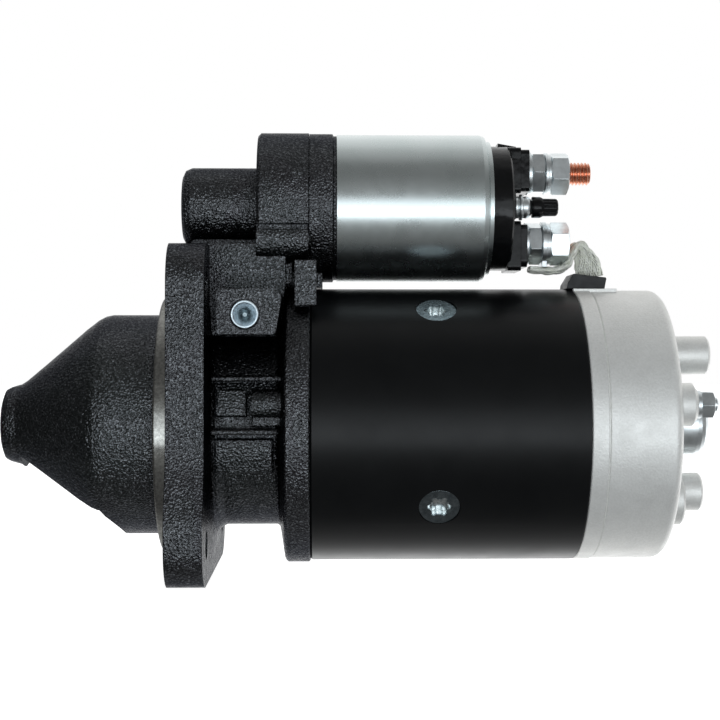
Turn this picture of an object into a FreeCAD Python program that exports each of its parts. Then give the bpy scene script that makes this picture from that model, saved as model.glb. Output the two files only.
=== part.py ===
import FreeCAD, Part
import math
import os

# Starter motor of the pre-engaged kind. Millimetres.
# The origin is where the motor axis crosses the mounting face of the flange.
# +X runs along the motor axis towards the commutator end, +Z points to the solenoid.

V = FreeCAD.Vector
X_AXIS = V(1, 0, 0)
Y_AXIS = V(0, 1, 0)

# ---- driving dimensions -------------------------------------------------------------------
RUNNING_GAP = 0.05        # radial clearance of a shaft in its bush

# drive end housing
NOSE_TIP_X = -73.5
NOSE_BODY_R = 46.4
NOSE_WALL = 6.9
PILOT_R = 54.0
PILOT_LENGTH = 5.6
FLANGE_THICKNESS = 15.0
FLANGE_HOLE_R = 5.75
FLANGE_HOLE_Y = 45.0
FLANGE_HOLE_TOP_Z = 57.0
FLANGE_HOLE_LOW_Z = -46.0
BUSH_BOSS_R = 12.4
WINDOW_ANGLE = -112.0     # the ring gear opening faces down and away from the near side
WINDOW_HALF_ANGLE = 65.0
NECK_R = 42.5
NECK_BORE_R = 36.5
RING_X = 46.0
RING_R = 58.4
PLATE_SEAT_X = 50.0

# motor body
YOKE_X = 56.0
YOKE_END_X = 166.8
YOKE_R = 57.5
YOKE_WALL = 6.0
POLE_SCREW_X = 107.4
POLE_SCREW_HEAD_R = 8.25
POLE_SCREW_SHANK_R = 5.0
POLE_SCREW_SINK = 0.7     # head top below the yoke's surface
POLE_TURN = 12.0          # poles and through-bolts are turned this far about the axis
POLE_COUNT = 4
POLE_BORE_R = 36.3
ARMATURE_R = 35.6
CORE_X = 64.0
CORE_END_X = 144.0
SLOT_COUNT = 25
COMMUTATOR_R = 19.0
COMMUTATOR_X = 150.0
COMMUTATOR_END_X = 174.0
BOLT_CIRCLE_R = 46.0
BOLT_R = 3.0
BOLT_END_X = 219.0
BOLT_SEAT_X = 210.2
BOLT_NUT_FLATS = 10.0

# end cover
COVER_END_X = 203.5
COVER_R = 57.0
COVER_WALL = 5.6
COVER_FILLET = 4.0
COVER_RIM_X = 173.9        # where the rim that locates on the yoke ends
SUPPORT_Z = 29.3          # height of each rear support boss from the axis
SUPPORT_R = 8.15
SUPPORT_HOLE_R = 3.4      # tapping size of an M8 thread
SUPPORT_TOP_X = 226.0
SUPPORT_LOW_X = 223.0

# brush gear
BRUSH_X = 156.5
BRUSH_END_X = 169.5
BRUSH_HALF = 7.0          # half the brush's width across its holder
BRUSH_TOP_R = 35.0
HOLDER_GAP = 0.3
HOLDER_WALL = 1.2

# shaft
NOSE_JOURNAL_R = 6.0
PINION_SEAT_R = 8.0
SPLINE_R = 9.5
CENTRE_JOURNAL_R = 10.0
CORE_SEAT_R = 9.0
END_JOURNAL_R = 6.5

# drive
PINION_TEETH = 10
PINION_TIP_R = 18.0
PINION_ROOT_R = 11.7
PINION_X = -34.0
PINION_END_X = -12.0
RACE_R = 13.0
CLUTCH_R = 26.0
DRIVER_R = 14.0
COLLAR_FLANGE_R = 24.0
COLLAR_HUB_R = 19.5
SHOE_R = 3.0

# shift lever
PIVOT_X = 30.5
PIVOT_Z = 45.3
PIVOT_R = 4.0
PAD_LOW_Z = 37.4          # lower edge of the tower and of the pads round the pivot
PLUNGER_STROKE = 12.0

# solenoid
SOLENOID_Z = 92.0
SOLENOID_R = 31.1
CAN_X = 67.0
CAN_END_X = 130.0
PLUNGER_R = 14.4
STUD_OFFSET = 15.0
STUD_R = 4.9
STUD_GRIP_R = 4.7         # under the nuts, where the thread is run in
STUD_FREE_X = 166.4       # the free end of the upper stud takes the battery cable
STUD_END_X = 175.4
CAP_R = 26.5
STUD_NUT_FLATS = 16.0
SOLENOID_SCREW_Y = 22.6
SOLENOID_SCREW_Z = SOLENOID_Z - 14.8
TRIGGER_Y = -14.0         # the small switch terminal stands off the middle plane
TRIGGER_Z = SOLENOID_Z - 0.7

# field lead
LEAD_ROUTE = [(149.0, 64.8), (166.4, 65.2), (171.4, 78.4), (176.6, 66.4), (177.0, 58.5)]
LEAD_WIDTH = 10.0
LEAD_THICKNESS = 3.0

LEVER_TILT = math.degrees(math.atan2(PLUNGER_STROKE / 2, SOLENOID_Z - PIVOT_Z))
SHOE_X = PIVOT_X + PIVOT_Z * math.tan(math.radians(LEVER_TILT))


# ---- helpers ------------------------------------------------------------------------------
def cylinder(r, x0, x1, y=0.0, z=0.0):
    return Part.makeCylinder(r, x1 - x0, V(x0, y, z), X_AXIS)


def tube(outer, inner, x0, x1, y=0.0, z=0.0):
    return cylinder(outer, x0, x1, y, z).cut(cylinder(inner, x0 - 1, x1 + 1, y, z))


def cross_cylinder(r, y0, y1, x, z):
    return Part.makeCylinder(r, y1 - y0, V(x, y0, z), Y_AXIS)


def block(x0, x1, y0, y1, z0, z1):
    return Part.makeBox(x1 - x0, y1 - y0, z1 - z0, V(x0, y0, z0))


def joined(pieces):
    whole = pieces[0]
    for piece in pieces[1:]:
        whole = whole.fuse(piece)
    return whole.removeSplitter()


def turned(profile, y=0.0, z=0.0):
    """Solid of revolution about an axis along X, from (x, radius) points."""
    points = [V(x, y, z + r) for x, r in profile]
    points.append(points[0])
    face = Part.Face(Part.makePolygon(points))
    return face.revolve(V(0, y, z), X_AXIS, 360)


def rounded_wire(corners, place):
    """Closed wire through (u, v, radius) corners, each rounded by its radius."""
    edges = []
    count = len(corners)
    starts = []
    ends = []
    middles = []
    for i in range(count):
        before = corners[i - 1]
        here = corners[i]
        after = corners[(i + 1) % count]
        p = V(here[0], here[1], 0)
        a = (V(before[0], before[1], 0) - p).normalize()
        b = (V(after[0], after[1], 0) - p).normalize()
        half = a.getAngle(b) / 2
        radius = here[2]
        if radius <= 0 or half > 1.57:
            starts.append(p)
            ends.append(p)
            middles.append(None)
            continue
        reach = radius / math.tan(half)
        centre = p + (a + b).normalize() * (radius / math.sin(half))
        starts.append(p + a * reach)
        ends.append(p + b * reach)
        middles.append(centre + (p - centre).normalize() * radius)
    for i in range(count):
        if middles[i] is not None:
            edges.append(Part.Arc(place(starts[i]), place(middles[i]), place(ends[i])).toShape())
        following = starts[(i + 1) % count]
        if (following - ends[i]).Length > 0.001:
            edges.append(Part.LineSegment(place(ends[i]), place(following)).toShape())
    return Part.Wire(edges)


def plate_yz(corners, x0, x1):
    """Plate across X with a rounded (y, z, radius) outline."""
    wire = rounded_wire(corners, lambda p: V(x0, p.x, p.y))
    return Part.Face(wire).extrude(V(x1 - x0, 0, 0))


def plate_xz(corners, y0, y1):
    """Plate across Y with a rounded (x, z, radius) outline."""
    wire = rounded_wire(corners, lambda p: V(p.x, y0, p.y))
    return Part.Face(wire).extrude(V(0, y1 - y0, 0))


def hexagon(across_flats, x0, x1, y=0.0, z=0.0, turn=0.0):
    corner = across_flats / math.sqrt(3)
    points = []
    for k in range(7):
        angle = math.radians(60 * k + turn)
        points.append(V(x0, y + corner * math.cos(angle), z + corner * math.sin(angle)))
    return Part.Face(Part.makePolygon(points)).extrude(V(x1 - x0, 0, 0))


def nut(across_flats, bore_r, x0, x1, y=0.0, z=0.0, turn=0.0, faces=(True, True)):
    """Hexagon nut with the corners of the named faces chamfered."""
    corner = across_flats / math.sqrt(3)
    flat_r = across_flats / 2 * 0.97
    drop = (corner - flat_r) * 0.55
    left = (x0, flat_r) if faces[0] else (x0, corner)
    right = (x1, flat_r) if faces[1] else (x1, corner)
    profile = [(x0, 0), left, (x0 + drop, corner), (x1 - drop, corner), right, (x1, 0)]
    body = hexagon(across_flats, x0, x1, y, z, turn).common(turned(profile, y, z))
    return body.cut(cylinder(bore_r, x0 - 1, x1 + 1, y, z))


def around(r, angle):
    """(y, z) at a radius, with the angle counted from the near side upwards."""
    a = math.radians(angle)
    return -r * math.cos(a), r * math.sin(a)


def spun(shape, angle):
    """Copy turned about the motor axis; the near side goes upwards."""
    copy = shape.copy()
    copy.rotate(V(0, 0, 0), X_AXIS, -angle)
    return copy


def sector(outer, inner, x0, x1, middle, half):
    """Part of a ring, centred on an angle and reaching half that far each side."""
    points = []
    for r, step in ((inner, 1), (outer, -1)):
        for k in (-step, 0, step):
            y, z = around(r, middle + half * k)
            points.append(V(x0, y, z))
    edges = [
        Part.Arc(points[0], points[1], points[2]).toShape(),
        Part.LineSegment(points[2], points[3]).toShape(),
        Part.Arc(points[3], points[4], points[5]).toShape(),
        Part.LineSegment(points[5], points[0]).toShape(),
    ]
    return Part.Face(Part.Wire(edges)).extrude(V(x1 - x0, 0, 0))


def ribbon(points, bend_r, thickness, y0, y1):
    """Flat strip that follows (x, z) points in its own plane, as wide as y0 to y1."""
    half = thickness / 2
    route = [V(x, 0, z) for x, z in points]
    spans = []
    cuts = [route[0]]
    for i in range(1, len(route) - 1):
        a = (route[i - 1] - route[i]).normalize()
        b = (route[i + 1] - route[i]).normalize()
        bend = a.getAngle(b) / 2
        reach = bend_r / math.tan(bend)
        centre = route[i] + (a + b).normalize() * (bend_r / math.sin(bend))
        start = route[i] + a * reach
        end = route[i] + b * reach
        middle = centre + (route[i] - centre).normalize() * bend_r
        ring = []
        for r in (bend_r - half, bend_r + half):
            ring.append([centre + (p - centre).normalize() * r for p in (start, middle, end)])
        low, high = ring
        edges = [
            Part.Arc(low[0], low[1], low[2]).toShape(),
            Part.LineSegment(low[2], high[2]).toShape(),
            Part.Arc(high[2], high[1], high[0]).toShape(),
            Part.LineSegment(high[0], low[0]).toShape(),
        ]
        spans.append(Part.Face(Part.Wire(edges)))
        cuts.extend([start, end])
    cuts.append(route[-1])
    for i in range(0, len(cuts), 2):
        run = (cuts[i + 1] - cuts[i]).normalize()
        side = V(-run.z, 0, run.x) * half
        corners = [cuts[i] + side, cuts[i + 1] + side, cuts[i + 1] - side, cuts[i] - side]
        spans.append(Part.Face(Part.makePolygon(corners + corners[:1])))
    solids = []
    for face in spans:
        flat = face.copy()
        flat.translate(V(0, y0, 0))
        solids.append(flat.extrude(V(0, y1 - y0, 0)))
    return joined(solids)


def save(name, shape):
    if not shape.isValid():
        print("not valid:", name)
    shape.exportStep("parts/" + name + ".step")


def group(shapes):
    return Part.makeCompound(shapes)


# ---- drive end housing ---------------------------------------------------------------------
def nose_shell():
    outer = [
        (NOSE_TIP_X, 0), (NOSE_TIP_X, 12.6), (-72.6, 14.9), (-70.6, 15.9), (-66.5, 17.0), (-63.9, 18.7),
        (-56.2, 25.1), (-38.2, 40.5), (-33.1, 44.4), (-30.4, 45.8), (-27.5, NOSE_BODY_R),
        (1, NOSE_BODY_R), (1, 0),
    ]
    inner_r = NOSE_BODY_R - NOSE_WALL
    inner = [
        (-56, 0), (-56, 11.0), (-52.5, 19.5), (-38.2, 32.3), (-33.1, 36.9), (-28.5, inner_r),
        (2, inner_r), (2, 0),
    ]
    return turned(outer), turned(inner)


def gear_window():
    """Opening through which the pinion meets the ring gear, low on the far side."""
    wedge = sector(62, BUSH_BOSS_R, -66, -20, WINDOW_ANGLE, WINDOW_HALF_ANGLE)
    rounding = 16
    outline = plate_xz([(-65, 44, rounding), (-21.6, 44, rounding), (-21.6, -44, rounding),
                        (-65, -44, rounding)], 0, 64)
    return wedge.common(spun(outline, WINDOW_ANGLE + 180))


def flange_plate():
    outline = [
        (-58.0, 74.0, 17), (58.0, 74.0, 17), (60.0, -12.0, 40), (66.5, -36.0, 16), (66.0, -62.2, 18),
        (-66.5, -62.2, 18), (-67.5, -36.0, 16), (-59.5, -12.0, 40),
    ]
    return plate_yz(outline, 0, FLANGE_THICKNESS)


def neck_solid():
    """Waist between the flange and the rear ring, with its cast fillets."""
    profile = [
        (10, 0), (10, 58), (15, 56.5), (15.9, 48.5), (16.8, 45.6), (18.4, 43.8), (21, NECK_R),
        (42.0, NECK_R), (43.0, 43.1), (43.5, 44.4), (RING_X - 0.6, 56.6), (RING_X, 57.8),
        (RING_X + 0.8, RING_R), (YOKE_X - 0.6, RING_R), (YOKE_X, RING_R - 0.6), (YOKE_X, 0),
    ]
    return turned(profile)


def rounded_pad(r, x0, x1, middle, half):
    """Raised pad on the near side of the waist, with its outer corners eased."""
    pad = sector(r, NECK_BORE_R + 2, x0, x1, middle, half)
    edges = []
    for edge in pad.Edges:
        if min(math.hypot(v.Point.y, v.Point.z) for v in edge.Vertexes) > r - 0.1:
            edges.append(edge)
    return pad.makeFillet(0.9, edges)


def near_side_castings():
    """Bolt boss, ledges and pads on the waist, and the same boss on the far side."""
    pieces = []
    for angle in (POLE_TURN, POLE_TURN + 180):
        y, z = around(BOLT_CIRCLE_R, angle)
        pieces.append(cylinder(6.0, 33, RING_X + 1, y, z))
        low = min(y, 0.8 * y)
        high = max(y, 0.8 * y)
        pieces.append(block(33, RING_X + 1, low, high, z - 6, z + 6))
    ledge_r = 50.5
    for angle, x_end in ((23.2, 45), (-1.2, 43.5)):
        y, z = around(ledge_r, angle)
        profile = [(17, 0), (17, 0.7), (17.4, 1.1), (x_end - 0.4, 1.1), (x_end, 0.7), (x_end, 0)]
        nose = turned(profile, y, z)
        pieces.append(nose.fuse(block(17, x_end, y, -30, z - 1.1, z + 1.1)))
    pieces.append(rounded_pad(46.2, 18.5, 31, 13.2, 7.0))
    pieces.append(rounded_pad(48.6, 33, RING_X, 8.4, 7.4))
    pieces.append(rounded_pad(45.4, 18, 41.5, -14.4, 9.2))
    return pieces


def lever_tower():
    """Raised body that joins the waist to the solenoid mount and holds the lever pivot."""
    body = plate_xz(
        [(6.5, PAD_LOW_Z, 0), (6.5, 75, 3), (46, 75, 0), (46, 58.5, 4), (42.4, PAD_LOW_Z, 0)], -29, 29)
    core = plate_xz([(5.5, 60, 0), (5.5, 77.6, 3), (33, 77.6, 0), (33, 60, 0)], -14.5, 14.5)
    step = block(30, 48.5, -27, 27, 58.5, 67)
    pad_outline = [(19.2, 55.7, 2), (45.6, 55.7, 4), (42.6, PAD_LOW_Z, 1.5), (19.2, PAD_LOW_Z, 1.5)]
    near_pad = plate_xz(pad_outline, -52, -10)
    far_pad = plate_xz(pad_outline, 10, 46)
    rib = block(49.8, 58.6, -38, -32, 49.4, 67.6)
    rib_foot = block(49.8, YOKE_X, -38, -20, 49.4, 66)
    web = block(42, 61, -15, 15, 57.9, 66)
    return [body, core, step, near_pad, far_pad, rib, rib_foot, web]


def solenoid_mount():
    snout = turned([(2, 0), (2, 13.5), (3.2, 15.9), (5.8, 17), (36, 17), (36, 0)], 0, SOLENOID_Z)
    barrel = turned([(34, 0), (34, 30.6), (35.2, 31.8), (55.3, 31.8), (55.3, 0)], 0, SOLENOID_Z)
    lobes = []
    for side in (-1, 1):
        lobes.append(cylinder(9.3, 34, 55.3, side * 23.4, SOLENOID_Z - 15.0))
    return [snout, barrel] + lobes


def lever_spaces():
    """Hollow inside the housing for the lever, the plunger link and the plunger."""
    slot = block(13.5, 45.5, -9.5, 9.5, 20, SOLENOID_Z)
    link_bore = cylinder(12.5, 7, 40, 0, SOLENOID_Z)
    plunger_bore = cylinder(16, 38, 56, 0, SOLENOID_Z)
    seat = cylinder(31.9, 55.3, 70, 0, SOLENOID_Z)
    return [slot, link_bore, plunger_bore, seat]


def drive_end_housing():
    outer, inner = nose_shell()
    pilot = turned([(-PILOT_LENGTH, 0), (-PILOT_LENGTH, PILOT_R - 0.6), (-PILOT_LENGTH + 0.6, PILOT_R),
                    (1, PILOT_R), (1, 0)])
    solid = joined([outer, pilot, flange_plate(), neck_solid()] + near_side_castings() + lever_tower()
                   + solenoid_mount())
    solid = solid.cut(inner)
    solid = solid.cut(cylinder(NECK_BORE_R, -2, PLATE_SEAT_X + 1))
    solid = solid.cut(cylinder(51.0, PLATE_SEAT_X, YOKE_X + 1))
    solid = solid.cut(cylinder(8.0, -71, -50))
    solid = solid.cut(gear_window())
    for space in lever_spaces():
        solid = solid.cut(space)
    for y in (-FLANGE_HOLE_Y, FLANGE_HOLE_Y):
        for z in (FLANGE_HOLE_LOW_Z, FLANGE_HOLE_TOP_Z):
            solid = solid.cut(cylinder(FLANGE_HOLE_R, -1, FLANGE_THICKNESS + 5, y, z))
    for angle in (POLE_TURN, POLE_TURN + 180):
        y, z = around(BOLT_CIRCLE_R, angle)
        solid = solid.cut(cylinder(BOLT_R, 35, YOKE_X, y, z))
    solid = solid.cut(cross_cylinder(PIVOT_R, -60, 60, PIVOT_X, PIVOT_Z))
    solid = solid.cut(cross_cylinder(5.85, -60, -46, PIVOT_X, PIVOT_Z))
    for y, z in solenoid_screw_places():
        solid = solid.cut(cylinder(2.6, 30, 60, y, z))
        solid = solid.cut(cylinder(5.2, 3, 41, y, z))
    groove = block(33, 55.3, -35, -26.5, SOLENOID_Z - 11.6, SOLENOID_Z - 9.0)
    return solid.cut(groove).removeSplitter()


def nose_bush():
    return tube(8.0, NOSE_JOURNAL_R + RUNNING_GAP, -70.8, -56.5)


def lever_pivot_bolt():
    shank = cross_cylinder(PIVOT_R, -47, 53, PIVOT_X, PIVOT_Z)
    head = cross_cylinder(5.65, -53, -46.5, PIVOT_X, PIVOT_Z)
    head = head.makeChamfer(0.4, [edge for edge in head.Edges if edge.BoundBox.YMax < -52.9])
    socket = Part.makeCone(4.8, 0.8, 4.0, V(PIVOT_X, -53.01, PIVOT_Z), Y_AXIS)
    return shank.fuse(head).cut(socket).removeSplitter()


def lever_pivot_nut():
    body = nut(13, PIVOT_R, 46.1, 52, 0, 0)
    body.rotate(V(0, 0, 0), V(0, 0, 1), 90)
    body.translate(V(PIVOT_X, 0, PIVOT_Z))
    return body


# ---- shift lever ---------------------------------------------------------------------------
def tilt_to_rest(shape):
    shape.rotate(V(PIVOT_X, 0, PIVOT_Z), Y_AXIS, -LEVER_TILT)
    return shape


def shift_lever():
    arm = plate_xz([
        (PIVOT_X - 5, 98.5, 5), (PIVOT_X + 5, 98.5, 5), (PIVOT_X + 7, PIVOT_Z + 4, 8),
        (PIVOT_X + 5, 29, 2), (PIVOT_X - 5, 29, 2), (PIVOT_X - 7, PIVOT_Z + 4, 8)], -7, 7)
    arch = sector(31.2, 25.4, PIVOT_X - 3.5, PIVOT_X + 3.5, 90, 90)
    pieces = [arm, arch]
    for side in (-1, 1):
        low = min(side * 25.4, side * 31.2)
        high = max(side * 25.4, side * 31.2)
        pieces.append(block(PIVOT_X - 3.5, PIVOT_X + 3.5, low, high, -6, 0.5))
    body = joined(pieces)
    body = body.cut(block(PIVOT_X - 9, PIVOT_X + 9, -3.2, 3.2, 76, 110))
    body = body.cut(cross_cylinder(PIVOT_R + RUNNING_GAP, -20, 20, PIVOT_X, PIVOT_Z))
    reach = math.hypot(PLUNGER_STROKE / 2, SOLENOID_Z - PIVOT_Z)
    pin = cross_cylinder(3.0, -6.5, 6.5, PIVOT_X, PIVOT_Z + reach)
    return tilt_to_rest(body.fuse(pin).removeSplitter())


def fork_shoes():
    reach = math.hypot(SHOE_X - PIVOT_X, PIVOT_Z)
    shoes = []
    for side in (-1, 1):
        low = min(side * 20.1, side * 25.4)
        high = max(side * 20.1, side * 25.4)
        shoe = tilt_to_rest(cross_cylinder(SHOE_R, low, high, PIVOT_X, PIVOT_Z - reach))
        shoes.append(shoe.cut(shift_lever()))
    return group(shoes)


# ---- centre bearing ------------------------------------------------------------------------
def centre_bearing_plate():
    plate = turned([(PLATE_SEAT_X, 0), (PLATE_SEAT_X, 50.9), (54, 50.9), (54, 0)])
    hub = turned([(44.5, 0), (44.5, 17), (45.5, 18), (50.5, 22), (50.5, 0)])
    body = joined([plate, hub])
    body = body.cut(cylinder(13, 40, 60))
    for angle in (POLE_TURN, POLE_TURN + 180):
        y, z = around(BOLT_CIRCLE_R, angle)
        body = body.cut(cylinder(BOLT_R + 0.2, 40, 60, y, z))
    for k in range(3):
        y, z = around(34, 90 + 120 * k)
        body = body.cut(cylinder(6.0, 40, 60, y, z))
    return body


def centre_bush():
    return tube(13.0, CENTRE_JOURNAL_R + RUNNING_GAP, 44.5, 54)


# ---- drive ---------------------------------------------------------------------------------
def pinion():
    pitch = 360.0 / PINION_TEETH
    pitch_r = (PINION_TIP_R + PINION_ROOT_R) / 2 + 0.3
    edges = []

    def at(r, angle):
        a = math.radians(angle)
        return V(PINION_X, r * math.cos(a), r * math.sin(a))

    for k in range(PINION_TEETH):
        mid = k * pitch
        root = 0.36 * pitch
        flank = 0.25 * pitch
        tip = 0.10 * pitch
        edges.append(Part.Arc(at(PINION_ROOT_R, mid - root), at(pitch_r, mid - flank),
                              at(PINION_TIP_R, mid - tip)).toShape())
        edges.append(Part.Arc(at(PINION_TIP_R, mid - tip), at(PINION_TIP_R, mid),
                              at(PINION_TIP_R, mid + tip)).toShape())
        edges.append(Part.Arc(at(PINION_TIP_R, mid + tip), at(pitch_r, mid + flank),
                              at(PINION_ROOT_R, mid + root)).toShape())
        edges.append(Part.Arc(at(PINION_ROOT_R, mid + root), at(PINION_ROOT_R, mid + pitch / 2),
                              at(PINION_ROOT_R, mid + pitch - root)).toShape())
    gear = Part.Face(Part.Wire(edges)).extrude(V(PINION_END_X - PINION_X, 0, 0))
    lead_in = turned([(PINION_X, 0), (PINION_X, 14.4), (PINION_X + 3.2, PINION_TIP_R + 1),
                      (PINION_END_X, PINION_TIP_R + 1), (PINION_END_X, 0)])
    gear = gear.common(lead_in)
    shoulder = cylinder(PINION_TIP_R, PINION_END_X - 2.5, PINION_END_X)
    race = cylinder(RACE_R, PINION_END_X - 1, 6)
    body = joined([gear, shoulder, race])
    return body.cut(cylinder(9.8, PINION_X - 1, 7))


def pinion_bush():
    return tube(9.8, PINION_SEAT_R + RUNNING_GAP, PINION_X + 0.5, 5.5)


def clutch_shell():
    body = turned([(-10, 0), (-10, CLUTCH_R), (13.2, CLUTCH_R), (14, CLUTCH_R - 0.8), (14, DRIVER_R),
                   (42, DRIVER_R), (42, 0)])
    body = body.cut(cylinder(RACE_R + 0.6, -11, 7.5))
    for k in range(6):
        pocket = sector(20.2, 5, -6, 7.5, 60 * k, 15)
        ramp = spun(cylinder(3.6, -6, 7.5, *around(17.0, -9)), 60 * k)
        body = body.cut(pocket).cut(ramp)
    return body.cut(cylinder(SPLINE_R + RUNNING_GAP, -12, 43))


def clutch_rollers():
    return group([spun(cylinder(2.9, -5.5, 7, *around(16.4, -4)), 60 * k) for k in range(6)])


def clutch_springs():
    springs = []
    for k in range(6):
        coil = Part.makeCylinder(1.5, 2.0, V(0.7, -16.6, 1.95), V(0, 0, 1))
        springs.append(spun(coil, 60 * k))
    return group(springs)


def clutch_cover():
    body = turned([(-11.2, 14.4), (-11.2, 26.6), (-10.4, 27.2), (14.6, 27.2), (15.2, 26.6), (15.2, 22),
                   (14.2, 22), (14.2, 25.4), (13.6, 26.1), (-10.1, 26.1), (-10.1, 14.4)])
    return body


def meshing_spring():
    return tube(18.2, 14.4, 15.4, 31.0)


def guide_collar():
    groove = SHOE_R + 0.3
    left = SHOE_X - groove - 1.8
    right = SHOE_X + groove + 1.6
    return turned([(left, DRIVER_R), (left, COLLAR_FLANGE_R), (SHOE_X - groove, COLLAR_FLANGE_R),
                   (SHOE_X - groove, COLLAR_HUB_R), (SHOE_X + groove, COLLAR_HUB_R),
                   (SHOE_X + groove, COLLAR_FLANGE_R), (right, COLLAR_FLANGE_R), (right, DRIVER_R)])


# ---- armature ------------------------------------------------------------------------------
def armature_shaft():
    return turned([
        (-70.2, 0), (-70.2, NOSE_JOURNAL_R - 0.6), (-69.6, NOSE_JOURNAL_R), (-53, NOSE_JOURNAL_R),
        (-53, PINION_SEAT_R), (-49.8, PINION_SEAT_R), (-49.8, 6.9), (-48.2, 6.9),
        (-48.2, PINION_SEAT_R), (8.5, PINION_SEAT_R), (10, SPLINE_R), (43, SPLINE_R),
        (43, CENTRE_JOURNAL_R), (57, CENTRE_JOURNAL_R), (57, CORE_SEAT_R), (178, CORE_SEAT_R),
        (178, END_JOURNAL_R), (205.2, END_JOURNAL_R), (205.2, 5.4), (206.6, 5.4),
        (206.6, END_JOURNAL_R), (209.4, END_JOURNAL_R), (210, 5.9), (210, 0)])


def stop_ring():
    return turned([(-50.6, PINION_SEAT_R + 0.02), (-50.6, 12.0), (-49.2, 12.6), (-46.6, 12.6),
                   (-46.6, 9.2), (-49.9, 9.2), (-49.9, PINION_SEAT_R + 0.02)])


def snap_ring():
    ring = tube(9.1, 6.95, -49.7, -48.3)
    return ring.cut(block(-51, -47, -1.5, 1.5, 0, 12))


def armature_core():
    slot_depth = 10.0
    body = cylinder(ARMATURE_R, CORE_X, CORE_END_X)
    slots = []
    for k in range(SLOT_COUNT):
        slot = block(CORE_X - 1, CORE_END_X + 1, -1.2, 1.2, ARMATURE_R - slot_depth, ARMATURE_R - 1.2)
        mouth = block(CORE_X - 1, CORE_END_X + 1, -0.6, 0.6, ARMATURE_R - 2, ARMATURE_R + 1)
        slots.append(spun(slot, k * 360.0 / SLOT_COUNT))
        slots.append(spun(mouth, k * 360.0 / SLOT_COUNT))
    return body.cut(slots).cut(cylinder(CORE_SEAT_R, CORE_X - 1, CORE_END_X + 1))


def armature_windings():
    front = turned([(58, 14), (58, 30), (60, 33), (CORE_X - 0.2, 34), (CORE_X - 0.2, 14)])
    rear = turned([(CORE_END_X + 0.2, 12), (CORE_END_X + 0.2, 34), (146.5, 33), (149.8, 23.5),
                   (149.8, 12)])
    bars = []
    for k in range(SLOT_COUNT):
        bar = block(63, 145, -1.0, 1.0, ARMATURE_R - 9.6, ARMATURE_R - 1.6)
        bars.append(spun(bar, k * 360.0 / SLOT_COUNT))
    return front.fuse([rear] + bars).removeSplitter()


def commutator():
    body = turned([(COMMUTATOR_X, CORE_SEAT_R), (COMMUTATOR_X, 22.5), (153, 22.5), (153.6, COMMUTATOR_R),
                   (COMMUTATOR_END_X - 0.5, COMMUTATOR_R), (COMMUTATOR_END_X, COMMUTATOR_R - 0.5),
                   (COMMUTATOR_END_X, CORE_SEAT_R)])
    cuts = []
    for k in range(SLOT_COUNT):
        gap = block(COMMUTATOR_X - 1, COMMUTATOR_END_X + 1, -0.35, 0.35, COMMUTATOR_R - 1.2, 24)
        cuts.append(spun(gap, (k + 0.5) * 360.0 / SLOT_COUNT))
    return body.cut(cuts)


def thrust_washers():
    end_bore = END_JOURNAL_R + 0.02
    return group([
        tube(14.0, CENTRE_JOURNAL_R + 0.02, 54.8, 55.8),
        tube(11.5, end_bore, 183.6, 184.8),
        tube(10.5, end_bore, 203.9, 205.0),
    ])


def shaft_clip():
    ring = tube(9.4, 5.45, 205.3, 206.5)
    return ring.cut(block(205, 207, -2.2, 2.2, 0, 12))


# ---- yoke and field ------------------------------------------------------------------------
def pole_angles():
    first = POLE_TURN + 45
    return [first + 90 * k for k in range(POLE_COUNT)]


def pole_screw_cutter(angle, head_r, shank_r, bottom_r):
    """Countersunk screw form standing on a pole, pointing outwards."""
    inside = bottom_r
    head_top = YOKE_R + 3
    neck = YOKE_R - 5.4
    profile = [
        V(0, 0, inside), V(shank_r, 0, inside), V(shank_r, 0, neck), V(head_r, 0, YOKE_R - 1.4),
        V(head_r, 0, head_top), V(0, 0, head_top),
    ]
    face = Part.Face(Part.makePolygon(profile + profile[:1]))
    solid = face.revolve(V(0, 0, 0), V(0, 0, 1), 360)
    solid.translate(V(POLE_SCREW_X, 0, 0))
    return spun(solid, angle - 90)


def yoke():
    bore_r = YOKE_R - YOKE_WALL
    body = turned([
        (YOKE_X, bore_r), (YOKE_X, YOKE_R - 0.8), (YOKE_X + 0.8, YOKE_R), (YOKE_END_X - 0.5, YOKE_R),
        (YOKE_END_X, YOKE_R - 0.5), (YOKE_END_X, bore_r),
    ])
    for angle in pole_angles():
        body = body.cut(pole_screw_cutter(angle, POLE_SCREW_HEAD_R + 0.1, POLE_SCREW_SHANK_R + 0.1, 45))
    return body


def pole_shoes():
    shoes = []
    for angle in pole_angles():
        stem = sector(YOKE_R - YOKE_WALL, 38, 64, 144, angle, 19)
        shoe = sector(41, POLE_BORE_R, 62, 146, angle, 33)
        solid = joined([stem, shoe])
        shoes.append(solid.cut(pole_screw_cutter(angle, POLE_SCREW_HEAD_R + 0.1, POLE_SCREW_SHANK_R, 42)))
    return group(shoes)


def field_coils():
    coils = []
    for angle in pole_angles():
        ring = sector(50.8, 41.3, 57.5, 150.5, angle, 38)
        window = sector(52, 40, 63.4, 144.6, angle, 19.8)
        coils.append(ring.cut(window))
    return group(coils)


def six_lobe_socket(r, depth):
    """Driver recess with six round lobes, mouth at z = 0 and bottom at -depth."""
    reach = 0.80 * r
    core = Part.makeCylinder(reach, depth + 1, V(0, 0, -depth))
    for k in range(6):
        a = math.radians(60 * k)
        middle = V(reach * math.cos(a), reach * math.sin(a), -depth)
        core = core.fuse(Part.makeCylinder(0.22 * r, depth + 1, middle))
    return core.removeSplitter()


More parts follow.
